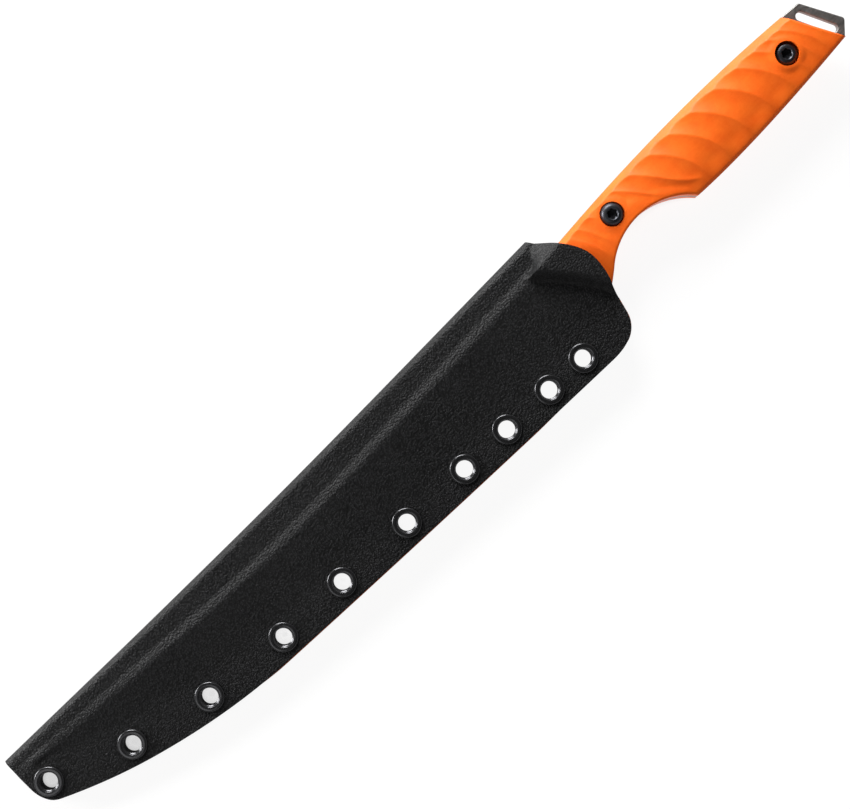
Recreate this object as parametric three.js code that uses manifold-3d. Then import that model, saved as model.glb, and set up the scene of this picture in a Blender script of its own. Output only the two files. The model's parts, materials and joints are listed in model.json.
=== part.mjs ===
// A fixed-blade knife with orange handle scales, pushed home in a black folded sheath.
//
// Millimetres. The knife is drawn in its own axes: X runs from the sheath's tip to the
// handle's butt, Y from the cutting edge to the spine, and Z out of the front face, with
// the middle of the steel at Z = 0. At the end the whole group is laid on its back on the
// ground, so it leans by LEAN, touching at the mouth of the sheath and at its last eyelet.
import * as THREE from 'three';
import { mergeVertices } from 'three/addons/utils/BufferGeometryUtils.js';
import Module from 'manifold-3d';

const wasm = await Module();
wasm.setup();

// Steel
const STEEL_HALF = 1.6; // half of the 3.2 mm stock
const TIP_HALF = 0.45; // half thickness of the spine at the point
const EDGE_HALF = 0.15; // the cutting edge is left blunt
const TIP_X = -174.5;
const BLADE_END_X = 63; // the blade's section ends here, inside the flat steel
const SLOT_LENGTH = 15;
const SLOT_WIDTH = 3.2;

// Handle
const CHOIL_CENTRE = [92.2, -22.15];
const CHOIL_RADIUS = 25.9;
const SCALE_INSIDE = 1.9; // the scales start this far from the middle
const FRONT_END_HALF = 5.9; // half thickness of the handle inside the sheath's mouth
const HEAD_RADIUS = 3.8;
const HEAD_CLEARANCE = 0.4; // round the head, in its seat
const SHANK_RADIUS = 2;
const BARREL_RADIUS = 3;
const BARREL_BORE = 2.3;
const SCREWS = [
  { name: 'neck', x: 86.8, y: 10.4, seat: 5.3, top: 7.9 },
  { name: 'butt', x: 166.7, y: 7, seat: 4.7, top: 7.1 },
];

// Sheath
const SHEATH_TIP_X = -190;
const FLANGE_HALF = 2.7; // outside of each flange
const SLIT_HALF = 0.7; // inside of each flange
const WELT_HALF = 0.4;
const POCKET_HALF = 1.9;
const POCKET_START_X = -168; // beyond it the thin point lies in the gap of the fold
const FOLD_GAP_HALF = 1.3;
const FOLD_WALL = 2.2;
const MOUTH_HALF = 8.3; // outside of the bulge over the front of the handle
const MOUTH_CAVITY_HALF = 6.3;
const BORE_RADIUS = 3.05; // eyelets
const BARREL_WALL = 0.4;
const RIM_RADIUS = 5.1;
const RIM_HEIGHT = 0.7;
const EYELETS = [
  [-183.7, 9.4], [-154.8, -1.7], [-124.9, -8.8], [-92.9, -12.2], [-65.7, -13.1],
  [-35.9, -14.4], [-9.2, -15.4], [10.5, -16], [30.2, -16.7], [45.9, -17.2],
];

const GAP = 0.3; // between pieces that touch
const LEAN = Math.atan2(MOUTH_HALF - FLANGE_HALF - GAP - RIM_HEIGHT, 246);
const FAR = 100; // past every surface that is cut
const ROUND = 20; // sides of a small circle

const plastic = new THREE.MeshStandardMaterial({ color: 0x1c1d1f, roughness: 0.6 });
const orange = new THREE.MeshStandardMaterial({ color: 0xf36f21, roughness: 0.55 });
const steel = new THREE.MeshStandardMaterial({ color: 0x76716a, roughness: 0.4, metalness: 0.9 });
const blackMetal = new THREE.MeshStandardMaterial({ color: 0x151515, roughness: 0.35, metalness: 0.6 });

// ---- curves -----------------------------------------------------------------

// A smooth curve y(x) through a few points, level with their neighbours' slope.
function smoothThrough(points) {
  const slope = (i) => {
    const a = points[Math.max(i - 1, 0)];
    const b = points[Math.min(i + 1, points.length - 1)];
    return (b[1] - a[1]) / (b[0] - a[0]);
  };
  return (x) => {
    let i = 0;
    while (i < points.length - 2 && x > points[i + 1][0]) i += 1;
    const [x0, y0] = points[i];
    const [x1, y1] = points[i + 1];
    const width = x1 - x0;
    const t = THREE.MathUtils.clamp((x - x0) / width, 0, 1);
    const bend = slope(i) * width * t * (1 - t) ** 2 - slope(i + 1) * width * t * t * (1 - t);
    return y0 + (y1 - y0) * t * t * (3 - 2 * t) + bend;
  };
}

const spineAt = smoothThrough([[TIP_X, 19.3], [-150, 16.6], [-120, 14.2], [-60, 11.6], [0, 13], [65, 16]]);
const edgeAt = smoothThrough([
  [TIP_X, 18.9], [-166, 13.4], [-150, 6.8], [-125, 0], [-95, -4.2], [-50, -6.8], [0, -8.6], [65, -10.2],
]);
const foldAt = smoothThrough([[SHEATH_TIP_X, 24.8], [-120, 23.6], [-50, 23.2], [59, 24.6], [75, 25]]);
const ridgeAt = smoothThrough([
  [SHEATH_TIP_X, 19.4], [-164, 17.9], [-124, 15.4], [-98, 13.4],
  [-62, 12.3], [-8, 13.9], [53, 16.6], [75, 17.5],
]);
const flangeAt = smoothThrough([
  [SHEATH_TIP_X, 16], [-178, 15.6], [-166, 10.5], [-150, 5], [-125, -1.6],
  [-95, -5.6], [-50, -8.3], [0, -10.1], [75, -11.8],
]);
const steelHalfAt = (x) => THREE.MathUtils.mapLinear(Math.min(x, -25), TIP_X, -25, TIP_HALF, STEEL_HALF);
const handleHalfAt = smoothThrough([
  [50, FRONT_END_HALF], [74, FRONT_END_HALF], [95, 7.4], [135, 8], [190, 7.5],
]);

function stations(from, to, count) {
  return Array.from({ length: count + 1 }, (_, i) => THREE.MathUtils.lerp(from, to, i / count));
}

// ---- solids -----------------------------------------------------------------

function solid(geometry) {
  const bare = geometry.clone();
  bare.deleteAttribute('normal');
  bare.deleteAttribute('uv');
  const merged = mergeVertices(bare, 1e-4);
  return new wasm.Manifold(new wasm.Mesh({
    numProp: 3,
    vertProperties: new Float32Array(merged.attributes.position.array),
    triVerts: new Uint32Array(merged.index.array),
  }));
}

function meshOf(name, shape, material) {
  const cut = shape.getMesh();
  const geometry = new THREE.BufferGeometry();
  geometry.setAttribute('position', new THREE.BufferAttribute(cut.vertProperties, 3));
  geometry.setIndex(new THREE.BufferAttribute(cut.triVerts, 1));
  geometry.computeVertexNormals();
  const mesh = new THREE.Mesh(geometry, material);
  mesh.name = name;
  return mesh;
}

// A flat outline, drawn out from -half to +half.
function plate(shape, half, curveSegments = 12) {
  const depth = 2 * half;
  const geometry = new THREE.ExtrudeGeometry(shape, { depth, bevelEnabled: false, curveSegments });
  return solid(geometry.translate(0, 0, -half));
}

// A solid that is alike front and back. Each rail gives, at one x, a point [y, z] of the
// front surface; the rails run in order from the edge side to the spine side.
function symmetricLoft(xs, rails) {
  const geometry = new THREE.BoxGeometry(1, 1, 1, xs.length - 1, rails.length - 1, 1);
  const position = geometry.attributes.position;
  for (let i = 0; i < position.count; i += 1) {
    const x = xs[Math.round((position.getX(i) + 0.5) * (xs.length - 1))];
    const rail = rails[Math.round((position.getY(i) + 0.5) * (rails.length - 1))];
    const [y, z] = rail(x);
    position.setXYZ(i, x, y, position.getZ(i) > 0 ? z : -z);
  }
  return solid(geometry);
}

// A turned piece, from [radius, height] points, standing on Z.
function turned(points) {
  const profile = points.map(([r, z]) => new THREE.Vector2(r, z));
  return solid(new THREE.LatheGeometry(profile, ROUND).rotateX(Math.PI / 2));
}

function cylinder(radius, bottom, top, x, y) {
  const geometry = new THREE.CylinderGeometry(radius, radius, top - bottom, ROUND);
  geometry.rotateX(Math.PI / 2);
  return solid(geometry.translate(x, y, (top + bottom) / 2));
}

// The region above or below a curve y(x), as a flat outline.
function regionFrom(curve, xs, farSide) {
  const shape = new THREE.Shape();
  shape.moveTo(xs[0], farSide);
  xs.forEach((x) => shape.lineTo(x, curve(x)));
  shape.lineTo(xs[xs.length - 1], farSide);
  return shape;
}

// ---- the knife --------------------------------------------------------------

// Both the steel and the scales follow this line from the front of the handle, round the
// finger choil and along the belly to the butt.
function addBelly(shape, frontAngle, butt) {
  const rearAngle = 0.685;
  shape.absarc(CHOIL_CENTRE[0], CHOIL_CENTRE[1], CHOIL_RADIUS, Math.PI - frontAngle, rearAngle, true);
  shape.quadraticCurveTo(138, -7.2, butt[0], butt[1]);
}

function lanyardSlot() {
  const tilt = new THREE.Vector2(0.42, -0.907);
  const reach = (SLOT_LENGTH - SLOT_WIDTH) / 2;
  const middle = new THREE.Vector2(182.7, 7.4);
  const upper = middle.clone().addScaledVector(tilt, -reach);
  const lower = middle.clone().addScaledVector(tilt, reach);
  const across = tilt.angle() - Math.PI / 2;
  const slot = new THREE.Path();
  slot.absarc(lower.x, lower.y, SLOT_WIDTH / 2, across, across + Math.PI, false);
  slot.absarc(upper.x, upper.y, SLOT_WIDTH / 2, across + Math.PI, across + 2 * Math.PI, false);
  return slot;
}

function blade() {
  const tang = new THREE.Shape();
  tang.moveTo(61, -10);
  tang.lineTo(66.5, -10.5);
  addBelly(tang, 0.575, [182.3, -3.1]);
  tang.lineTo(186.2, -2.8);
  tang.lineTo(189.9, 1.1);
  tang.quadraticCurveTo(190.5, 1.8, 190.1, 2.6);
  tang.lineTo(183.2, 15.7);
  tang.quadraticCurveTo(182.8, 16.5, 181.9, 16.5);
  tang.lineTo(174.4, 17.1);
  tang.quadraticCurveTo(122, 21.3, 61, 15.9);
  tang.holes.push(lanyardSlot());
  const xs = stations(TIP_X, BLADE_END_X, 30);
  const grindLine = (x) => THREE.MathUtils.lerp(edgeAt(x), spineAt(x), 0.72);
  const section = symmetricLoft(xs, [
    (x) => [edgeAt(x), EDGE_HALF],
    (x) => [grindLine(x), steelHalfAt(x)],
    (x) => [spineAt(x), steelHalfAt(x)],
  ]);
  let steelBody = plate(tang, STEEL_HALF).add(section);
  for (const { x, y } of SCREWS) {
    steelBody = steelBody.subtract(cylinder(BARREL_RADIUS + GAP, -FAR, FAR, x, y));
  }
  return meshOf('blade', steelBody, steel);
}

// The two scales are halves of one block: its outline, crowned across its width.
function handleScales() {
  const outline = new THREE.Shape();
  outline.moveTo(58.3, 15.6);
  outline.quadraticCurveTo(67.7, 3.3, 71.3, -4.6);
  addBelly(outline, 0.61, [185.1, -2.9]);
  outline.lineTo(174.4, 17.1);
  outline.quadraticCurveTo(122, 21.3, 58.3, 15.6);
  const crown = (y) => 1 - 0.22 * ((y - 7.5) / 12) ** 2;
  const rails = [-9, -5, -1, 3, 8, 13, 17, 21].map((y) => (x) => [y, handleHalfAt(x) * crown(y)]);
  const block = plate(outline, FAR).intersect(symmetricLoft(stations(50, 195, 18), rails));
  return [1, -1].map((side) => {
    const half = new THREE.BoxGeometry(4 * FAR, 4 * FAR, FAR);
    half.translate(0, 0, side * (FAR / 2 + SCALE_INSIDE));
    let scale = block.intersect(solid(half));
    for (const { x, y, seat } of SCREWS) {
      const [low, high] = [side * (seat - GAP), side * FAR].sort((a, b) => a - b);
      scale = scale.subtract(cylinder(HEAD_RADIUS + HEAD_CLEARANCE, low, high, x, y));
      scale = scale.subtract(cylinder(BARREL_RADIUS + GAP, -FAR, FAR, x, y));
    }
    return meshOf(side > 0 ? 'handle_scale_front' : 'handle_scale_back', scale, orange);
  });
}

function barrel({ name, x, y, seat }) {
  const half = seat - 2 * GAP;
  const tube = turned([
    [BARREL_BORE, -half],
    [BARREL_RADIUS, -half],
    [BARREL_RADIUS, half],
    [BARREL_BORE, half],
    [BARREL_BORE, -half],
  ]);
  return meshOf(`barrel_${name}`, tube.translate([x, y, 0]), steel);
}

// A button head with a round socket, and its shank.
function screw({ name, x, y, seat, top }, side) {
  const head = turned([
    [0, seat - 2.6], [SHANK_RADIUS, seat - 2.6], [SHANK_RADIUS, seat], [HEAD_RADIUS, seat],
    [HEAD_RADIUS, seat + 0.9], [3.1, top - 0.5], [2, top], [1.4, top], [1.4, top - 1.5], [0, top - 1.5],
  ]);
  const placed = side > 0 ? head : head.rotate([180, 0, 0]);
  const face = side > 0 ? 'front' : 'back';
  return meshOf(`screw_${name}_${face}`, placed.translate([x, y, 0]), blackMetal);
}

// ---- the sheath -------------------------------------------------------------

function sheathOutline() {
  const shape = new THREE.Shape();
  shape.moveTo(SHEATH_TIP_X, 12);
  shape.quadraticCurveTo(SHEATH_TIP_X, 4.7, -184.9, 2.3);
  shape.quadraticCurveTo(-167.5, -5.9, -150, -10.6);
  shape.quadraticCurveTo(-122.4, -18.1, -97, -19.2);
  shape.quadraticCurveTo(-20, -22.9, 53, -24.9);
  shape.quadraticCurveTo(60.5, -25, 64.2, -21.8);
  shape.quadraticCurveTo(66.6, -19.8, 67.4, -17);
  shape.lineTo(70.1, -6.6);
  shape.quadraticCurveTo(72.6, 0, 72.2, 5.5);
  shape.quadraticCurveTo(71.6, 11, 65.6, 18);
  shape.lineTo(59, 24.7);
  shape.lineTo(59, 30);
  shape.lineTo(SHEATH_TIP_X, 30);
  return shape;
}

// The bulge that the front of the handle is pressed into: a level top and sloped sides.
function mouthBulge() {
  const top = new THREE.Shape();
  top.moveTo(57, 16.6);
  top.quadraticCurveTo(66.2, 4.2, 70.6, -5);
  top.lineTo(85, -5);
  top.lineTo(85, 19.9);
  top.closePath();
  const slope = 5.3;
  const depth = 2 * (MOUTH_HALF - slope);
  const geometry = new THREE.ExtrudeGeometry(top, {
    depth, bevelThickness: slope, bevelSize: 2.4, bevelSegments: 2, curveSegments: 8,
  });
  return solid(geometry.translate(0, 0, -depth / 2));
}

function mouthCavity() {
  const shape = new THREE.Shape();
  shape.moveTo(57.6, 16.1);
  shape.quadraticCurveTo(66.9, 3.9, 71.2, -4.6);
  shape.lineTo(85, -4.6);
  shape.lineTo(85, 19.4);
  return plate(shape, MOUTH_CAVITY_HALF, 8);
}

// Pocket for the blade, the narrower gap behind its spine, and the slit between flanges.
function sheathInside() {
  const xs = stations(POCKET_START_X, 85, 30);
  const pocket = regionFrom((x) => edgeAt(x) - 0.6, xs, 15.6);
  const throat = new THREE.Shape();
  throat.moveTo(15, 15);
  throat.lineTo(85, 15);
  throat.lineTo(85, 18);
  throat.lineTo(60, 17.2);
  throat.lineTo(15, 15.6);
  const foldGap = regionFrom((x) => foldAt(x) - FOLD_WALL, stations(-200, 85, 12), 14.6);
  const slit = regionFrom((x) => flangeAt(x) + 3.5, stations(-200, 85, 24), -FAR);
  return plate(pocket, POCKET_HALF)
    .add(plate(throat, POCKET_HALF))
    .add(plate(foldGap, FOLD_GAP_HALF))
    .add(plate(slit, SLIT_HALF))
    .add(mouthCavity());
}

function eyeletHoles() {
  const radius = BORE_RADIUS + BARREL_WALL + GAP;
  return EYELETS.map(([x, y]) => cylinder(radius, -FAR, FAR, x, y)).reduce((all, hole) => all.add(hole));
}

function sheathShell() {
  const bladeHalfAt = (x) => THREE.MathUtils.mapLinear(Math.min(x, -140), -185, -140, 3.2, 4);
  const outside = symmetricLoft(stations(-195, 78, 36), [
    () => [-35, FLANGE_HALF],
    (x) => [flangeAt(x), FLANGE_HALF],
    (x) => [THREE.MathUtils.lerp(flangeAt(x), ridgeAt(x) - 1.4, 0.5), bladeHalfAt(x) - 0.2],
    (x) => [ridgeAt(x) - 1.4, bladeHalfAt(x)],
    (x) => [ridgeAt(x) + 1.8, 3.3],
    (x) => [foldAt(x) - 2.2, 3.1],
    (x) => [foldAt(x) - 0.9, 2.3],
    (x) => [foldAt(x) - 0.2, 1.1],
    (x) => [foldAt(x), 0.3],
  ]);
  const shell = outside.add(mouthBulge())
    .intersect(plate(sheathOutline(), FAR))
    .subtract(sheathInside())
    .subtract(eyeletHoles());
  return meshOf('sheath_shell', shell, plastic);
}

function edgeWelt() {
  const innerEdgeAt = (x) => Math.min(edgeAt(x), flangeAt(x) + 2) - 1.3;
  const inside = regionFrom(innerEdgeAt, stations(-200, 85, 30), -FAR);
  const strip = plate(sheathOutline(), WELT_HALF).intersect(plate(inside, FAR)).subtract(eyeletHoles());
  return meshOf('edge_welt', strip, orange);
}

function eyelet([x, y], index) {
  const under = FLANGE_HALF + GAP;
  const top = under + RIM_HEIGHT;
  const outer = BORE_RADIUS + BARREL_WALL;
  const front = [
    [outer, under],
    [RIM_RADIUS, under],
    [RIM_RADIUS - 0.7, top],
    [BORE_RADIUS + 0.6, top],
    [BORE_RADIUS, under - 0.5],
  ];
  const back = front.map(([r, z]) => [r, -z]).reverse();
  const ring = turned([...back, ...front, back[0]]);
  const number = String(index + 1).padStart(2, '0');
  return meshOf(`eyelet_${number}`, ring.translate([x, y, 0]), blackMetal);
}

// ---- assembly ---------------------------------------------------------------

const knife = new THREE.Group();
knife.add(blade(), ...handleScales());
for (const place of SCREWS) {
  knife.add(barrel(place), screw(place, 1), screw(place, -1));
}

const sheath = new THREE.Group();
sheath.add(sheathShell(), edgeWelt(), ...EYELETS.map(eyelet));

const leaning = new THREE.Group();
leaning.rotation.y = -LEAN;
leaning.add(knife, sheath);

// The origin is under the middle of the whole, on the ground.
const whole = new THREE.Group();
whole.add(leaning);
const box = new THREE.Box3().setFromObject(whole, true);
const middle = box.getCenter(new THREE.Vector3());
leaning.position.set(-middle.x, -middle.y, -box.min.z);

export default whole;
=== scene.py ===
"""The looks of a fixed-blade knife with orange scales, pushed home in a black folded sheath.

Each piece is drawn in millimetres in the knife's own axes: X runs from the sheath's tip to
the handle's butt, Y from the cutting edge to the spine, and Z out of the front face, with
the middle of the steel at Z = 0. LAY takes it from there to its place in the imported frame.
"""
import json
import math

import bmesh
import bpy
from mathutils import Matrix, Vector


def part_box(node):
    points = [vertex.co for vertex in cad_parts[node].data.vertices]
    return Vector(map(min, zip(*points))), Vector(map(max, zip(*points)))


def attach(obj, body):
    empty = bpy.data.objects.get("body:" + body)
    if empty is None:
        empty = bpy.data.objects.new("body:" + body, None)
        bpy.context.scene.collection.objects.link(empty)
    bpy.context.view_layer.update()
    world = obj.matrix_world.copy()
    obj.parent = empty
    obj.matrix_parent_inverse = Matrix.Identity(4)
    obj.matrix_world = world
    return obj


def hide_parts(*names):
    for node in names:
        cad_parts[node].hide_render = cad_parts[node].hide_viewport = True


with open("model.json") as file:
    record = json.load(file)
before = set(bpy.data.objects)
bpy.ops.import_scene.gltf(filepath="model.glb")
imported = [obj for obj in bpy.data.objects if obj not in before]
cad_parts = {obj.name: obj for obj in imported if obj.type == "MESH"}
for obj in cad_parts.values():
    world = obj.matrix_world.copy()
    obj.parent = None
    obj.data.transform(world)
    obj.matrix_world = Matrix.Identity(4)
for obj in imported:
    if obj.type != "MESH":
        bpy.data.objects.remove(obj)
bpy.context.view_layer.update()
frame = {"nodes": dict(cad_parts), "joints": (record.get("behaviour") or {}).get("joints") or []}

MM = 0.001

# ---- places, in the knife's own axes ----------------------------------------

EYELETS = [  # x, y, from the tip to the throat
    (-183.7, 9.4), (-154.8, -1.7), (-124.9, -8.8), (-92.9, -12.2), (-65.7, -13.1),
    (-35.9, -14.4), (-9.2, -15.4), (10.5, -16), (30.2, -16.7), (45.9, -17.2),
]
SCREWS = {  # x, y, seat, top
    "neck": (86.8, 10.4, 5.3, 7.9),
    "butt": (166.7, 7, 4.7, 7.1),
}
STEEL_HALF = 1.6  # half the steel's thickness in the handle
TIP_HALF = 0.45  # the same at the blade's tip
TIP_X = -174.5  # of the blade
SHEATH_TIP_X = -190
FLANGE = 2.7  # outside of a flange
WALL = 2  # of the sheath's sheet
MOUTH = 8.3  # outside of the bulge over the handle
MOUTH_START = 40  # the bulge rises only past this x
FOLD_RADIUS = 2.55  # how far the fold's round reaches beyond its foot
EYELET_BORE = 3  # radius
CHOIL_CENTRE = Vector((92.2, -22.15))
CHOIL_RADIUS = 25.9
HEAD_RADIUS = 3.88  # of a screw


def lay_matrix():
    """From the knife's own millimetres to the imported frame: X is the way that the knife is
    drawn, and the last eyelet's middle is a point that both know."""
    along = Vector(frame["joints"][0]["axis"])
    out = Vector((-along.z, 0, along.x))
    turn = Matrix((along, (0, 1, 0), out)).transposed().to_4x4() @ Matrix.Scale(MM, 4)
    low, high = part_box(f"eyelet_{len(EYELETS)}")
    own = Vector((*EYELETS[-1], 0))
    return Matrix.Translation((low + high) / 2 - turn @ own) @ turn


LAY = lay_matrix()


# ---- curves -----------------------------------------------------------------

def clamp(value, low=0.0, high=1.0):
    return max(low, min(high, value))


def mix(a, b, t):
    return a + (b - a) * t


def share(value, start, end):
    """How far value has come from start to end, from 0 to 1."""
    return clamp((value - start) / (end - start))


def ease(value, start, end):
    """The same as share, level at both ends."""
    t = share(value, start, end)
    return t * t * (3 - 2 * t)


def ramp(t, corner=0.1):
    """0 before t = 0 and 1 after t = 1, straight between, with rounded corners."""
    return 0.5 * (1 + math.hypot(t, corner) - math.hypot(t - 1, corner))


def soft_floor(t, corner=0.12):
    """0 below t = 0 and t above it, with a rounded corner."""
    return 0.5 * (t + math.hypot(t, corner))


def smooth_through(*points):
    """A smooth curve y(x) through a few points, level with their neighbours' slope."""
    def slope(i):
        (x0, y0), (x1, y1) = points[max(i - 1, 0)], points[min(i + 1, len(points) - 1)]
        return (y1 - y0) / (x1 - x0)

    def curve(x):
        i = 0
        while i < len(points) - 2 and x > points[i + 1][0]:
            i += 1
        (x0, y0), (x1, y1) = points[i], points[i + 1]
        t = share(x, x0, x1)
        bend = slope(i) * t * (1 - t) ** 2 - slope(i + 1) * t * t * (1 - t)
        return y0 + (y1 - y0) * t * t * (3 - 2 * t) + bend * (x1 - x0)

    return curve


spine_at = smooth_through(
    (TIP_X, 19.3), (-150, 16.6), (-120, 14.2), (-60, 11.6), (0, 13), (65, 16),
)
edge_at = smooth_through(
    (TIP_X, 18.9), (-166, 13.4), (-150, 6.8), (-125, 0),
    (-95, -4.2), (-50, -6.8), (0, -8.6), (65, -10.2),
)
fold_at = smooth_through((SHEATH_TIP_X, 24.8), (-120, 23.6), (-50, 23.2), (59, 24.6), (75, 25))
ridge_at = smooth_through(
    (SHEATH_TIP_X, 19.4), (-164, 17.9), (-124, 15.4), (-98, 13.4),
    (-62, 12.3), (-8, 13.9), (53, 16.6), (75, 17.5),
)
flange_at = smooth_through(
    (SHEATH_TIP_X, 16), (-178, 15.6), (-166, 10.5), (-150, 5), (-125, -1.6),
    (-95, -5.6), (-50, -8.3), (0, -10.1), (75, -11.8),
)
handle_half_at = smooth_through((50, 5.9), (74, 5.9), (95, 7.4), (135, 8), (190, 7.5))


def path(start, *steps):
    """Points along straight steps (x, y) and quadratic steps ((control), (end))."""
    smoothness = 24
    points = [Vector(start)]
    for step in steps:
        here = points[-1]
        curved = isinstance(step[0], tuple)
        end = Vector(step[1] if curved else step)
        control = Vector(step[0]) if curved else (here + end) / 2
        for i in range(1, smoothness + 1):
            t = i / smoothness
            points.append(here * (1 - t) ** 2 + control * 2 * t * (1 - t) + end * t * t)
    return points


def arc(centre, radius, start, end, count=48):
    """Points along a round arc between two angles."""
    angles = [mix(start, end, i / count) for i in range(count + 1)]
    return [Vector(centre) + radius * Vector((math.cos(a), math.sin(a))) for a in angles]


def spaced(points, places):
    """The points at these shares, from 0 to 1, of the length of a line of points."""
    lengths = [0]
    for a, b in zip(points, points[1:]):
        lengths.append(lengths[-1] + (b - a).length)
    found = []
    i = 0
    for place in places:
        goal = place * lengths[-1]
        while i < len(points) - 2 and lengths[i + 1] < goal:
            i += 1
        step = lengths[i + 1] - lengths[i]
        t = clamp((goal - lengths[i]) / step) if step else 0
        found.append(points[i].lerp(points[i + 1], t))
    return found


def even(count):
    """Shares from 0 to 1 in equal steps."""
    return [i / count for i in range(count + 1)]


def patch(lower, upper, left, right, columns, rows):
    """A grid of flat points between four edges. It has a row for each share in rows."""
    grid = []
    for v, west, east in zip(rows, left, right):
        line = []
        for u, south, north in zip(columns, lower, upper):
            across = mix(west, east, u)
            up = mix(south, north, v)
            corners = mix(mix(lower[0], lower[-1], u), mix(upper[0], upper[-1], u), v)
            line.append(across + up - corners)
        grid.append(line)
    return grid


# ---- meshes -----------------------------------------------------------------

def mesh_of(points, faces):
    mesh = bpy.data.meshes.new("piece")
    mesh.from_pydata(points, [], faces)
    return mesh


def sheet_mesh(rows):
    """A mesh of four-sided faces over rows of points."""
    wide = len(rows[0])
    points = [point for row in rows for point in row]
    faces = []
    for j in range(len(rows) - 1):
        for i in range(wide - 1):
            a = j * wide + i
            faces.append((a, a + 1, a + wide + 1, a + wide))
    return mesh_of(points, faces)


def spun(profile, sides=64):
    """A turned piece with Z as its axis. A profile point is (r, z) or (r, z, wave), where
    wave is how far the ring's six lobes stand out and in."""
    points = []
    faces = []
    for r, z, *wave in profile:
        for k in range(sides):
            a = 2 * math.pi * k / sides
            reach = r + (wave[0] * math.cos(6 * a) if wave else 0)
            points.append((reach * math.cos(a), reach * math.sin(a), z))
    for j in range(len(profile) - 1):
        for k in range(sides):
            following = (k + 1) % sides
            lower = j * sides
            upper = lower + sides
            faces.append((lower + k, lower + following, upper + following, upper + k))
    return welded(mesh_of(points, faces))


def edited(mesh, edit):
    """The mesh after edit, a function that is handed it as a bmesh."""
    bm = bmesh.new()
    bm.from_mesh(mesh)
    edit(bm)
    bm.to_mesh(mesh)
    bm.free()
    return mesh


def welded(mesh):
    """The mesh with its doubled points joined and its faces turned outwards."""
    def edit(bm):
        bmesh.ops.remove_doubles(bm, verts=bm.verts, dist=1e-4)
        bmesh.ops.recalc_face_normals(bm, faces=bm.faces)
    return edited(mesh, edit)


def modified(mesh, *modifiers):
    """The mesh after modifiers, each given as its type and its settings."""
    holder = bpy.data.objects.new("holder", mesh)
    bpy.context.scene.collection.objects.link(holder)
    for kind, settings in modifiers:
        modifier = holder.modifiers.new(kind, kind)
        for key, value in settings.items():
            setattr(modifier, key, value)
    graph = bpy.context.evaluated_depsgraph_get()
    result = bpy.data.meshes.new_from_object(holder.evaluated_get(graph))
    bpy.data.objects.remove(holder)
    return result


def punch(bm, centre, radius, spare=0.4):
    """A round hole through a sheet: the loop of points left round it is set on the circle."""
    middle = Vector(centre)
    inside = [f for f in bm.faces if (f.calc_center_median().xy - middle).length < radius + spare]
    bmesh.ops.delete(bm, geom=inside, context="FACES")
    for vert in bm.verts:
        off = vert.co.xy - middle
        if off.length < radius + 3 * spare and vert.is_boundary:
            vert.co.xy = middle + off.normalized() * radius


def place(name, mesh, material, body, slot, *nodes, sharp=35):
    """Lays a mesh in the frame as a piece that rides on a body and stands for CAD nodes."""
    mesh.transform(LAY)
    mesh.shade_smooth()
    mesh.set_sharp_from_angle(angle=math.radians(sharp))
    mesh.materials.clear()
    mesh.materials.append(material)
    piece = bpy.data.objects.new(name, mesh)
    bpy.context.scene.collection.objects.link(piece)
    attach(piece, body)
    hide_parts(*nodes)
    return piece


# ---- materials --------------------------------------------------------------

def node(material, kind, settings=None, **inputs):
    """A shader node. An input is a number, a colour or another node's output."""
    made = material.node_tree.nodes.new(kind)
    for key, value in (settings or {}).items():
        setattr(made, key, value)
    for key, value in inputs.items():
        socket = made.inputs[key.replace("_", " ")]
        if isinstance(value, bpy.types.NodeSocket):
            material.node_tree.links.new(value, socket)
        else:
            socket.default_value = value
    return made


def new_material(name, **constants):
    """A material with its shader, and the place on the piece as a texture coordinate."""
    material = bpy.data.materials.new(name)
    material.use_nodes = True
    shader = material.node_tree.nodes["Principled BSDF"]
    for key, value in constants.items():
        shader.inputs[key.replace("_", " ")].default_value = value
    where = node(material, "ShaderNodeTexCoord").outputs["Object"]
    return material, shader, where


def noise(material, where, size, detail=3.0, rough=0.5, stretch=None):
    """Noise with features of about the given size in metres."""
    if stretch:
        where = node(material, "ShaderNodeMapping", Vector=where, Scale=stretch).outputs[0]
    texture = node(
        material, "ShaderNodeTexNoise", Vector=where, Scale=1 / size, Detail=detail, Roughness=rough,
    )
    return texture.outputs[0]


def blend_colours(material, amount, low, high, start=0.35, end=0.65):
    """From one colour to another as amount goes from start to end."""
    made = node(material, "ShaderNodeValToRGB", Fac=amount)
    stops = made.color_ramp.elements
    stops[0].position = start
    stops[0].color = (*low, 1)
    stops[1].position = end
    stops[1].color = (*high, 1)
    return made.outputs[0]


def blend_numbers(material, amount, low, high, start=0.35, end=0.65):
    """From one number to another as amount goes from start to end."""
    made = node(material, "ShaderNodeMapRange", Value=amount)
    for index, value in enumerate((start, end, low, high), 1):
        made.inputs[index].default_value = value
    return made.outputs[0]


def plus(material, a, b, weight):
    """a + b * weight."""
    made = node(material, "ShaderNodeMath", {"operation": "MULTIPLY_ADD"})
    for socket, value in zip(made.inputs, (b, weight, a)):
        if isinstance(value, bpy.types.NodeSocket):
            material.node_tree.links.new(value, socket)
        else:
            socket.default_value = value
    return made.outputs[0]


def connect(material, shader, colour, roughness, height, depth, strength):
    """Links the three to the shader. The height is a bump of the given depth in metres."""
    links = material.node_tree.links
    links.new(colour, shader.inputs["Base Color"])
    links.new(roughness, shader.inputs["Roughness"])
    bump = node(material, "ShaderNodeBump", Height=height, Distance=depth, Strength=strength)
    links.new(bump.outputs[0], shader.inputs["Normal"])
    return material


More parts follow.
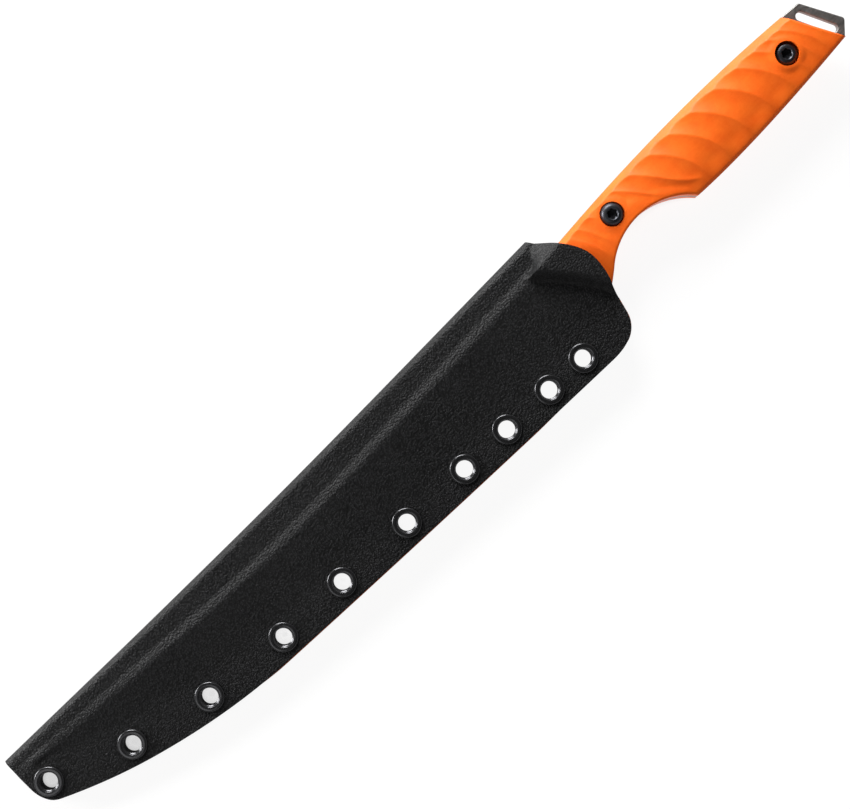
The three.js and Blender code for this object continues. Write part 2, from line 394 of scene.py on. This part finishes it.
def sheath_plastic():
    """Black sheet plastic with a fine pebbled grain: greyer on the pebbles, with painted shade in
    the hollows.
    """
    material, shader, where = new_material("sheath_black", Specular_IOR_Level=0.27)
    warp = noise(material, where, 0.0008, 2)
    bent = node(material, "ShaderNodeVectorMath", {"operation": "MULTIPLY_ADD"})
    links = material.node_tree.links
    links.new(warp, bent.inputs[0])
    bent.inputs[1].default_value = (0.0004, 0.0004, 0.0004)
    links.new(where, bent.inputs[2])
    pebbles = node(
        material, "ShaderNodeTexVoronoi", {"feature": "SMOOTH_F1"},
        Vector=bent.outputs[0], Scale=1500, Smoothness=0.3,
    ).outputs["Distance"]
    grain = plus(material, pebbles, noise(material, where, 0.00045, 3, 0.6), -0.6)
    patches = noise(material, where, 0.03, 3)
    pebble_tops = (0.011, 0.0112, 0.012)
    # painted shade: the hollows between the pebbles are darkened to near black
    painted_hollow_shade = (0.0006, 0.0006, 0.0007)
    colour = blend_colours(material, grain, pebble_tops, painted_hollow_shade, 0, 0.25)
    rough = plus(material, blend_numbers(material, patches, 0.42, 0.5), grain, 0.1)
    return connect(material, shader, colour, rough, grain, depth=-0.0002, strength=1.0)


def handle_laminate():
    """Orange glass laminate: faint cloth threads, a mottled tone and a fine machined grain."""
    material, shader, where = new_material("handle_orange", Specular_IOR_Level=0.25)
    clouds = noise(material, where, 0.006, 4, 0.55)
    specks = noise(material, where, 0.0007, 3, 0.6)
    threads = noise(material, where, 0.0011, 2, 0.5, stretch=(0.25, 2.2, 1))
    tone = plus(material, plus(material, clouds, specks, 0.35), threads, 0.25)
    colour = blend_colours(material, tone, (0.90, 0.122, 0.0065), (0.96, 0.155, 0.0105), 0.62, 0.98)
    rough = blend_numbers(material, specks, 0.42, 0.56)
    height = plus(material, specks, threads, 0.6)
    return connect(material, shader, colour, rough, height, depth=0.00004, strength=0.5)


def black_metal(name, roughness, shine):
    """Blackened steel or brass with a fine uneven finish: it shines where it lies level with
    the sheath's face, and is dull on the walls of a hole, which are painted dark as shade."""
    material, shader, where = new_material(name, Metallic=0.85, Specular_IOR_Level=0.5)
    uneven = noise(material, where, 0.0008, 4, 0.6)
    upright = LAY.to_3x3().normalized() @ Vector((0, 0, 1))
    normal = node(material, "ShaderNodeTexCoord").outputs["Normal"]
    cosine = node(material, "ShaderNodeVectorMath", {"operation": "DOT_PRODUCT"})
    material.node_tree.links.new(normal, cosine.inputs[0])
    cosine.inputs[1].default_value = upright
    cosine = cosine.outputs["Value"]
    level = node(material, "ShaderNodeMath", {"operation": "ABSOLUTE"}, Value=cosine).outputs[0]
    # painted shade: faces square to the sheath's face, such as hole walls, go near black
    painted_wall_shade = (0.001, 0.001, 0.001)
    colour = blend_colours(material, plus(material, level, uneven, 0.12), painted_wall_shade, shine, 0.1, 0.4)
    smooth = blend_numbers(material, level, 0.95, roughness, 0.05, 0.3)
    rough = plus(material, smooth, uneven, 0.1)
    return connect(material, shader, colour, rough, uneven, depth=0.00002, strength=0.6)


def washed_steel():
    """Stonewashed steel: warm grey, tumbled all over with small nicks."""
    material, shader, where = new_material("blade_steel", Metallic=0.9)
    clouds = noise(material, where, 0.004, 5, 0.65)
    nicks = node(
        material, "ShaderNodeTexVoronoi", {"feature": "DISTANCE_TO_EDGE"}, Vector=where, Scale=1500,
    ).outputs["Distance"]
    scratches = noise(material, where, 0.0006, 4, 0.7, stretch=(0.3, 1.6, 1))
    tone = plus(material, clouds, scratches, 0.5)
    colour = blend_colours(material, tone, (0.2, 0.197, 0.189), (0.3, 0.295, 0.283), 0.55, 0.95)
    rough = blend_numbers(material, scratches, 0.34, 0.56)
    height = plus(material, scratches, nicks, 0.5)
    return connect(material, shader, colour, rough, height, depth=0.00002, strength=0.6)


def welt_plastic():
    """The orange strip between the flanges: the laminate's colour, with a sawn edge."""
    material, shader, where = new_material("welt_orange", Specular_IOR_Level=0.3)
    streaks = noise(material, where, 0.0009, 4, 0.6, stretch=(0.4, 0.4, 3))
    colour = blend_colours(material, streaks, (0.72, 0.09, 0.008), (0.92, 0.17, 0.018))
    rough = blend_numbers(material, streaks, 0.5, 0.7)
    return connect(material, shader, colour, rough, streaks, depth=0.00004, strength=0.5)


PLASTIC = sheath_plastic()
LAMINATE = handle_laminate()
SCREW_BLACK = black_metal("screw_black", 0.34, (0.05, 0.052, 0.06))
EYELET_BLACK = black_metal("eyelet_black", 0.17, (0.065, 0.065, 0.068))
STEEL = washed_steel()
WELT_ORANGE = welt_plastic()


# ---- the sheath -------------------------------------------------------------

STAR = (54.8, 15.2)  # the point where the level top, the facet and the band come together
LEVEL_EDGE = path(STAR, ((65, 4.4), (70.6, -5)), (76, -16))  # of the bulge's level top
LEVEL_TOP_EDGE = (Vector(STAR), Vector((66.3, 15.9)))
THROAT_FOOT = (63.4, -22.5)  # where the lower edge turns up into the throat
TIP_CORNER = (-188.6, 5.9)
LOWER_EDGE = [  # steps of a path from the tip's corner to the throat's foot
    ((-187.6, 3.6), (-184.9, 2.3)), ((-167.5, -5.9), (-150, -10.6)),
    ((-122.4, -18.1), (-97, -19.2)), ((-20, -22.9), (53, -24.9)), ((59.5, -25), THROAT_FOOT),
]


def outside_level_edge(point):
    """How far a point lies on the tip's side of the bulge's level top. The edge's first
    stretch counts as running straight on past the star."""
    nearest = 1e9
    signed = 0
    for a, b in zip(LEVEL_EDGE, LEVEL_EDGE[1:]):
        step = b - a
        first = a is LEVEL_EDGE[0]
        t = clamp((point - a).dot(step) / step.length_squared, -9 if first else 0)
        off = point - (a + step * t)
        if off.length < nearest:
            nearest = off.length
            signed = off.length if step.x * off.y - step.y * off.x < 0 else -off.length
    return signed


def outside_top_edge(point):
    """How far a point lies on the fold's side of the bulge's level top."""
    a, b = LEVEL_TOP_EDGE
    step = (b - a).normalized()
    off = point - a
    return step.x * off.y - step.y * off.x


def sheath_height(point):
    """The sheath's front surface: a flange, a flat over the blade, a step down along the
    blade's spine to a band beside the fold, and a bulge over the front of the handle."""
    x, y = point
    ridge = ridge_at(x)
    top = mix(FLANGE, 3.9, share(x, -188, -135))  # of the flat over the blade
    foot = ridge - 2.5  # of the step
    over_blade = FLANGE + (top - FLANGE) * soft_floor((y - flange_at(x)) / (foot - flange_at(x)))
    step = mix(0.45, 0.9, ease(x, -178, -120))
    band = top - step - 0.12 * share(y, ridge + 1.8, fold_at(x) - FOLD_RADIUS)
    z = mix(over_blade, band, ramp((y - foot) / 3.4))
    if x < MOUTH_START:
        return z
    slope_width = 3
    facet_width = mix(0.8, 7.2, ease(x, STAR[0] - 0.6, STAR[0] + 6.6))
    beside = outside_level_edge(point) / slope_width
    above = outside_top_edge(point) / facet_width
    return mix(z, MOUTH, (1 - ramp(beside)) * (1 - ramp(above, 0.06)))


def eyelet_holes(radius):
    """An edit that punches a hole for each eyelet."""
    def edit(bm):
        for centre in EYELETS:
            punch(bm, centre, radius)
    return edit


def trim_throat(shell, throat):
    """Makes the cut through the sheet square to the knife's plane all round the throat, where
    the sheet's inner side would stand past it. Each inner point follows its outer one."""
    half = len(shell.vertices) // 2
    reach = 3.5
    mouth_end = 57  # points nearer the tip are all out of reach
    for i in range(half):
        outer = shell.vertices[i].co
        if outer.x > mouth_end:
            inner = shell.vertices[half + i].co
            near = min((outer.xy - point).length for point in throat)
            inner.xy = outer.xy.lerp(inner.xy, ease(near, 0, reach))


def sheath_shell():
    """Front half, fold and back half in one sheet, which is then given its thickness. Its
    columns stand closer together over the mouth."""
    coarse = 0.93
    columns = [coarse * i / 270 for i in range(270)] + [mix(coarse, 1, i / 48) for i in range(49)]
    rows = even(62)
    throat_end = 61.4  # at the foot of the fold
    fold_end = 59.8  # at the top of the fold
    along_fold = [mix(SHEATH_TIP_X, throat_end, u) for u in columns]
    fold_foot = [Vector((x, fold_at(x) - FOLD_RADIUS)) for x in along_fold]
    lower = spaced(path(TIP_CORNER, *LOWER_EDGE), columns)
    left = path(TIP_CORNER, ((SHEATH_TIP_X, 8.5), (SHEATH_TIP_X, 12)), tuple(fold_foot[0]))
    throat = path(
        THROAT_FOOT, ((66.4, -20.4), (67.4, -17)), (70.1, -6.6),
        ((72.6, 0), (72.2, 5.5)), ((71.6, 11), (65.6, 18)), tuple(fold_foot[-1]),
    )
    flat = patch(lower, fold_foot, spaced(left, rows), spaced(throat, rows), columns, rows)
    front = [[Vector((*point, sheath_height(point))) for point in row] for row in flat]
    for angle in (15, 30, 45, 60, 75, 90):
        up = math.sin(math.radians(angle))
        out = math.cos(math.radians(angle))
        row = []
        for u, foot in zip(columns, front[len(rows) - 1]):
            x = mix(SHEATH_TIP_X, mix(throat_end, fold_end, up), u)
            row.append(Vector((x, fold_at(x) - FOLD_RADIUS * (1 - up), foot.z * out)))
        front.append(row)
    back = [[Vector((p.x, p.y, -p.z)) for p in row] for row in reversed(front[:-1])]
    shell = edited(sheet_mesh(front + back), eyelet_holes(3.9))
    thick = {"thickness": WALL, "offset": -1, "use_even_offset": False}
    shell = modified(shell, ("SOLIDIFY", thick))
    trim_throat(shell, throat)
    rounded = {"width": 0.16, "segments": 2, "angle_limit": math.radians(55)}
    shell = modified(shell, ("BEVEL", rounded))
    return place("sheath", shell, PLASTIC, "sheath", "sheath_black", "sheath_shell")


def welt():
    """The strip between the flanges. It stands a hair proud along the middle of the edge and
    at the throat's foot."""
    thickness = 1.36
    columns = even(330)
    rows = even(16)
    outer = path(
        (SHEATH_TIP_X, 12), ((SHEATH_TIP_X, 4.7), (-184.9, 2.3)), *LOWER_EDGE[1:],
        ((66.4, -20.4), (67.4, -17)), (68.9, -11.3),
    )
    outer = spaced(outer, columns)
    lower = []
    for before, point, after in zip([outer[0], *outer], outer, [*outer[1:], outer[-1]]):
        way = (after - before).normalized()
        along_edge = ease(point.x, -115, -100) * (1 - ease(point.x, 15, 35))
        proud = 0.36 * along_edge + 0.27 * ease(point.x, 58, 62)
        lower.append(point + proud * Vector((way.y, -way.x)))
    upper = []
    for u in columns:
        x = mix(SHEATH_TIP_X, 69, u)
        upper.append(Vector((x, min(edge_at(x), flange_at(x) + 2) - 1.3)))
    left = spaced([lower[0], upper[0]], rows)
    right = spaced([lower[-1], upper[-1]], rows)
    flat = patch(lower, upper, left, right, columns, rows)
    strip = sheet_mesh([[Vector((*p, 0)) for p in row] for row in flat])
    strip = edited(strip, eyelet_holes(3.7))
    strip = modified(strip, ("SOLIDIFY", {"thickness": thickness, "offset": 0}))
    return place("welt", strip, WELT_ORANGE, "sheath", "welt_orange", "edge_welt")


def eyelet(number, centre):
    """A rolled eyelet: a thin barrel with a round rim turned over each flange."""
    roll_middle = 4.22
    roll_radius = 0.94
    roll_height = 0.9
    under = FLANGE + 0.02
    front = [(3.45, under), (roll_middle + roll_radius, under)]
    square = 0.62  # 1 would be a round roll, and less has a flatter top
    for angle in range(12, 181, 12):
        a = math.radians(angle)
        out = math.copysign(abs(math.cos(a)) ** square, math.cos(a))
        up = abs(math.sin(a)) ** square
        front.append((roll_middle + roll_radius * out, under + 0.05 + roll_height * up))
    front += [(EYELET_BORE + 0.02, under - 0.15), (EYELET_BORE, under - 0.5)]
    back = [(r, -z) for r, z in reversed(front)]
    ring = spun([*front, *back, front[0]])
    ring.transform(Matrix.Translation((*centre, 0)))
    name = f"eyelet_{number:02d}"
    return place(f"{name}_ring", ring, EYELET_BLACK, "sheath", "eyelet_black", name)


# ---- the knife --------------------------------------------------------------

def belly(front, butt):
    """Two lines: from the front of the handle round the finger choil, and on to the butt."""
    round_part = arc(CHOIL_CENTRE, CHOIL_RADIUS, math.pi - 0.85, 0.685)
    choil = path(front, ((73.2, -4.34), tuple(round_part[0]))) + round_part[1:]
    return choil, path(choil[-1], ((138, -7.2), butt))


def tang():
    """The flat steel in the handle, with its lanyard slot and the holes for the barrels."""
    choil, underside = belly((70, -6.7), (182.3, -3.1))
    outline = [Vector((61, -9.8)), Vector((66, -9.4)), *choil, *underside[1:]]
    outline += path(
        (186.2, -2.8), (189.9, 1.1), ((190.5, 1.8), (190.1, 2.6)), (183.2, 15.7),
        ((182.8, 16.5), (181.9, 16.5)), (174.4, 17.1), ((122, 21.3), (61, 15.9)),
    )
    tilt = Vector((0.42, -0.907)).normalized()  # the way that the slot runs
    reach = 5.9
    radius = 1.6
    middle = Vector((182.7, 7.4))
    quarter = math.pi / 2
    turn = math.atan2(tilt.y, tilt.x)
    slot = arc(middle + tilt * reach, radius, turn - quarter, turn + quarter, 12)
    slot += arc(middle - tilt * reach, radius, turn + quarter, turn + 3 * quarter, 12)
    bevel = 0.3
    curve = bpy.data.curves.new("tang", "CURVE")
    curve.dimensions = "2D"
    curve.fill_mode = "BOTH"
    curve.extrude = STEEL_HALF - bevel
    curve.bevel_depth = bevel
    curve.bevel_resolution = 1
    curve.offset = -bevel
    barrel_radius = 3.1
    holes = [arc((x, y), barrel_radius, 0, 2 * math.pi, 40) for x, y, seat, top in SCREWS.values()]
    for points in (outline, slot, *holes):
        pairs = zip(points, points[1:] + points[:1])
        points = [point for point, following in pairs if (point - following).length > 0.02]
        spline = curve.splines.new("POLY")
        spline.points.add(len(points) - 1)
        for target, point in zip(spline.points, points):
            target.co = (*point, 0, 1)
        spline.use_cyclic_u = True
    drawn = bpy.data.objects.new("tang", curve)
    bpy.context.scene.collection.objects.link(drawn)
    graph = bpy.context.evaluated_depsgraph_get()
    mesh = bpy.data.meshes.new_from_object(drawn.evaluated_get(graph))
    bpy.data.objects.remove(drawn)
    return welded(mesh)


def blade_section(x):
    """The blade's section at x, from the cutting edge up the front and down the back."""
    half = mix(TIP_HALF, STEEL_HALF, share(x, TIP_X, -25))
    edge = edge_at(x)
    spine = spine_at(x)
    fill = ease(x, 50, 57.5)  # the hollow of the grind runs out into the flat steel
    ground = mix(edge, spine, 0.72)
    bevel = min(0.7, 0.4 * (spine - edge))
    break_edge = min(0.3, 0.2 * (spine - edge))
    front = [
        (edge, mix(0.06, half - 0.2, fill)),
        (edge + bevel, mix(0.3 * half / STEEL_HALF, half, fill)),
        (mix(edge + bevel, ground, 0.5), mix(0.56 * half, half, fill)),
        (ground, half), (spine - break_edge, half), (spine, half - break_edge),
    ]
    back = [(y, -z) for y, z in reversed(front)]
    return [Vector((x, y, z)) for y, z in front + back]


def knife_steel():
    """Blade and tang, joined into one piece of steel."""
    end = 62  # just inside the tang
    count = 240
    sections = [blade_section(mix(TIP_X, end, i / count)) for i in range(count + 1)]
    around = len(sections[0])
    points = [point for section in sections for point in section]
    faces = [tuple(range(around)), tuple(range(count * around, (count + 1) * around))]
    for j in range(count):
        for k in range(around):
            following = (k + 1) % around
            here = j * around
            beyond = here + around
            faces.append((here + k, here + following, beyond + following, beyond + k))
    blade = welded(mesh_of(points, faces))
    other = bpy.data.objects.new("blade_part", blade)
    bpy.context.scene.collection.objects.link(other)
    join = {"operation": "UNION", "solver": "EXACT", "object": other}
    steel = modified(tang(), ("BOOLEAN", join))
    bpy.data.objects.remove(other)
    return place("knife_steel", steel, STEEL, "knife", "blade_steel", "blade", sharp=20)


CRESTS = [  # where each crest between two cuts meets the spine's chamfer, and how it runs on
    (70, 6.8, 0), (74.5, 6.3, 0), (80, 8.5, 0), (85.5, 9, 0), (92.4, 9.4, 8),
    (100, 9.4, 7), (109.7, 9.4, 0), (119.5, 9.4, 0), (130, 9.4, 0), (141, 9.4, 0),
    (151, 9.2, 0), (158.8, 9, 0), (164.4, 9, 0), (169, 9, 0), (175, 9, 0),
]


def crest_x(crest, y):
    """Where a crest is at the height y: it curves towards the butt on its way to the belly."""
    start, reach, flare = crest
    rise = max((y + 2) / 17.5, 0)
    return start + reach * (1 - rise * rise) + flare * max(1 - rise, 0) ** 4


def scallop(x, y):
    """Depth of the row of round cuts across the handle, which meet in crests."""
    calm = 1.0
    for cx, cy, near, far in ((86.8, 10.4, 4.6, 7.5), (166.7, 7, 4.6, 7), (93, 5, 2, 7)):
        calm = min(calm, ease(math.hypot(x - cx, y - cy), near, far))
    places = [crest_x(crest, y) for crest in CRESTS]
    for start, end in zip(places, places[1:]):
        if start <= x < end:
            t = (x - start) / (end - start)
            steepness = mix(0.055, 0.06, ease(x, 76, 96))
            return calm * steepness * (end - start) * 4 * t * (1 - t)
    return 0


def scale(side):
    """A handle scale: its carved face, the counterbores for the screws, and a flat back."""
    butt_foot = (185.1, -2.9)
    front_top = (58.8, 15.6)
    butt_top = (174.4, 17.1)
    choil, underside = belly((70.4, -6.4), butt_foot)
    round_choil = 118
    to_the_butt = 182
    lower = spaced(choil, even(round_choil)) + spaced(underside, even(to_the_butt))[1:]
    columns = even(round_choil + to_the_butt)
    rows = even(56)
    front_end = path(tuple(choil[0]), (70.3, -5.4), ((67.9, 3), front_top))
    butt_end = path(butt_foot, butt_top)
    upper = spaced(path(front_top, ((122, 21.3), butt_top)), columns)
    left = spaced(front_end, rows)
    right = spaced(butt_end, rows)
    flat = patch(lower, upper, left, right, columns, rows)

    def height(point, below, above, behind):
        """Of the face at a point, given the outline's points on three sides of it."""
        x, y = point
        half = handle_half_at(x)
        to_belly = (point - below).length
        to_spine = (point - above).length
        to_butt = (point - behind).length
        broad = ease(x, 98, 116)  # the chamfer along the belly thins out round the choil
        chamfer = mix(0.25, 0.45, broad) * (1 - ramp(to_belly / mix(0.6, 1.0, broad)))
        crowned = half * (1 - 0.22 * ((y - 7.5) / 12) ** 2)
        face = crowned - chamfer - scallop(x, y) * ease(to_belly, 0, 7)
        return min(face, 0.58 * half + 0.8 * to_spine, 0.85 * half + 1.1 * to_butt)

    top = []
    for row, behind in zip(flat, right):
        line = [Vector((*p, height(p, b, a, behind))) for p, b, a in zip(row, lower, upper)]
        top.append(line)
    inside = STEEL_HALF + 0.02
    bore = 2.3

    def close(bm):
        """Adds the counterbores with their seats, the walls and the flat back."""
        for x, y, seat, peak in SCREWS.values():
            punch(bm, (x, y), HEAD_RADIUS + 0.36, spare=0.25)
        bm.verts.ensure_lookup_table()
        rim = [edge for edge in bm.edges if edge.is_boundary]
        sheet = bm.faces[:]
        bottom = {vert: bm.verts.new((vert.co.x, vert.co.y, inside)) for vert in bm.verts[:]}
        for face in sheet:
            bm.faces.new([bottom[vert] for vert in reversed(face.verts)])
        steps = {}
        for x, y, seat, peak in SCREWS.values():
            middle = Vector((x, y))
            for vert in {v for edge in rim for v in edge.verts}:
                off = vert.co.xy - middle
                if off.length < 5:
                    inner = middle + off.normalized() * bore
                    bottom[vert].co.xy = inner
                    steps[vert] = [
                        bm.verts.new((vert.co.x, vert.co.y, seat)), bm.verts.new((*inner, seat)),
                    ]
        for edge in rim:
            face = edge.link_faces[0]
            a, b = edge.verts
            if next(loop.vert for loop in face.loops if loop.edge == edge) != a:
                a, b = b, a
            chain_a = [a, *steps.get(a, []), bottom[a]]
            chain_b = [b, *steps.get(b, []), bottom[b]]
            for a0, a1, b0, b1 in zip(chain_a, chain_a[1:], chain_b, chain_b[1:]):
                bm.faces.new((b0, a0, a1, b1))
        if side < 0:
            bmesh.ops.scale(bm, vec=(1, 1, -1), verts=bm.verts)
        bmesh.ops.recalc_face_normals(bm, faces=bm.faces)

    name = "handle_scale_front" if side > 0 else "handle_scale_back"
    mesh = edited(sheet_mesh(top), close)
    return place(f"{name}_carved", mesh, LAMINATE, "knife", "handle_orange", name, sharp=42)


def screw(where, side):
    """A button head with a six-lobed socket, on its shank."""
    x, y, seat, top = SCREWS[where]
    shoulder = seat + 0.9
    profile = [
        (0, seat - 2.6), (1.9, seat - 2.6), (2, seat - 2.4), (2, seat),
        (HEAD_RADIUS - 0.1, seat), (HEAD_RADIUS, seat + 0.1),
    ]
    crown_radius = 2.1
    for angle in range(0, 91, 10):
        a = math.radians(angle)
        r = crown_radius + (HEAD_RADIUS - crown_radius) * math.cos(a)
        profile.append((r, shoulder + (top - shoulder) * math.sin(a)))
    profile += [
        (1.95, top - 0.1), (1.7, top - 0.35, 0.08), (1.62, top - 0.5, 0.14),
        (1.55, top - 1.7, 0.14), (0, top - 1.9),
    ]
    head = spun(profile, 72)
    if side < 0:
        head.transform(Matrix.Rotation(math.pi, 4, "X"))
    head.transform(Matrix.Translation((x, y, 0)))
    name = f"screw_{where}_{'front' if side > 0 else 'back'}"
    return place(f"{name}_head", head, SCREW_BLACK, "knife", "screw_black", name)


def barrels():
    """The barrels' CAD shape serves as it is, in the blade's steel."""
    for where in SCREWS:
        frame["nodes"][f"barrel_{where}"].data.materials[0] = STEEL


# ---- the studio -------------------------------------------------------------

def camera():
    """Square to the knife's front face, with its length on the picture's diagonal."""
    view = bpy.data.cameras.new("camera")
    view.sensor_width = 36
    view.lens = 87.6
    holder = bpy.data.objects.new("camera", view)
    turn = LAY.to_3x3().normalized().to_4x4() @ Matrix.Rotation(math.radians(-45), 4, "Z")
    above_middle = LAY @ Vector((-3.2, 9.6, 704))
    holder.matrix_world = Matrix.Translation(above_middle) @ turn
    bpy.context.scene.collection.objects.link(holder)
    bpy.context.scene.camera = holder


def area_light(name, heading, elevation, distance, size, power):
    """A square light turned towards the object's middle, with angles in degrees."""
    light = bpy.data.lights.new(name, "AREA")
    light.shape = "SQUARE"
    light.size = size
    light.energy = power
    holder = bpy.data.objects.new(name, light)
    level = distance * math.cos(math.radians(elevation))
    turn = math.radians(heading)
    height = distance * math.sin(math.radians(elevation))
    holder.location = (level * math.cos(turn), level * math.sin(turn), height)
    holder.rotation_euler = (-holder.location).to_track_quat("-Z", "Y").to_euler()
    bpy.context.scene.collection.objects.link(holder)


def tent():
    """Soft light all round that is bright low down and nearly dark overhead."""
    world = bpy.data.worlds.new("tent")
    world.use_nodes = True
    direction = node(world, "ShaderNodeTexCoord").outputs["Generated"]
    height = node(world, "ShaderNodeSeparateXYZ", Vector=direction).outputs["Z"]
    glow = blend_colours(world, height, (0.85, 0.85, 0.85), (0.012, 0.012, 0.012), 0.02, 0.62)
    world.node_tree.links.new(glow, world.node_tree.nodes["Background"].inputs["Color"])
    bpy.context.scene.world = world


def studio():
    """The lights, and a plain floor that glows white but for a thin soft shade by the object."""
    area_light("key", 66, 25, 1.1, 0.6, 20)
    area_light("side", 126, 14, 1.2, 0.5, 16)
    area_light("tip", 185, 55, 1.2, 0.6, 1.5)
    tent()
    reach = 1.5
    corners = [(-reach, -reach, 0), (reach, -reach, 0), (reach, reach, 0), (-reach, reach, 0)]
    floor_mesh = mesh_of(corners, [(0, 1, 2, 3)])
    material, shader, where = new_material(
        "floor", Base_Color=(0.12, 0.12, 0.12, 1), Roughness=0.9, Emission_Color=(1, 1, 1, 1),
    )
    heading = math.radians(72)  # the shade lies on the side of the object away from this heading
    lean = Vector((math.cos(heading), math.sin(heading), 0.4)).normalized()
    openness = node(
        material, "ShaderNodeAmbientOcclusion", {"samples": 8}, Distance=0.0048, Normal=lean,
    ).outputs["AO"]
    glow = blend_numbers(material, openness, 0.2, 0.92, 0.05, 0.6)
    material.node_tree.links.new(glow, shader.inputs["Emission Strength"])
    floor_mesh.materials.append(material)
    floor = bpy.data.objects.new("floor", floor_mesh)
    bpy.context.scene.collection.objects.link(floor)
    bpy.context.scene.view_settings.view_transform = "Standard"


camera()
studio()
sheath_shell()
welt()
for number, centre in enumerate(EYELETS, 1):
    eyelet(number, centre)
knife_steel()
for side in (1, -1):
    scale(side)
    for where in SCREWS:
        screw(where, side)
barrels()
